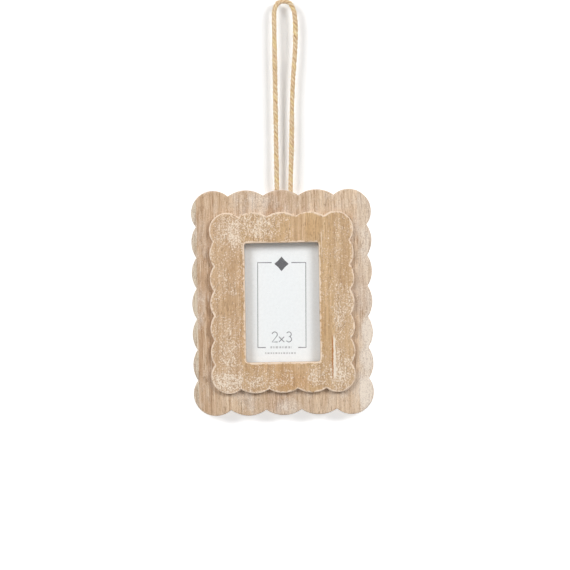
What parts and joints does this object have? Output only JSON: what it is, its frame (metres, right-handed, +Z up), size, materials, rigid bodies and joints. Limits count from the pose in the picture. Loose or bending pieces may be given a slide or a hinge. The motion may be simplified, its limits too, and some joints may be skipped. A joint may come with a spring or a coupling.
{
  "type": "picture frame ornament",
  "caption": "Small hanging picture frame of two scalloped whitewashed wood plates with a rectangular window, a card behind a clear pane and a loop of jute twine.",
  "frame": {"origin": "where the twine loop hangs: the inside of the loop's top, in the middle of the back plate's thickness", "axes": "+X to the right seen from the front, +Y out of the back face towards the wall, +Z up"},
  "size_m": [0.1016, 0.012, 0.2353],
  "materials": {
    "back_wood": "whitewashed and rubbed, matte",
    "front_wood": "whitewashed and rubbed, matte",
    "pane": "clear acrylic",
    "card": "printed, matte",
    "board": "pressed brown board",
    "tab_metal": "zinc plated",
    "twine": "jute, matte"
  },
  "bodies": {
    "root": {"back_plate": "back_wood", "front_plate": "front_wood", "clear_pane": "pane", "insert_card": "card", "backing_board": "board", "backing_tab_top": "tab_metal", "backing_tab_right": "tab_metal", "backing_tab_bottom": "tab_metal", "backing_tab_left": "tab_metal", "twine_loop": "twine"}
  },
  "joints": []
}
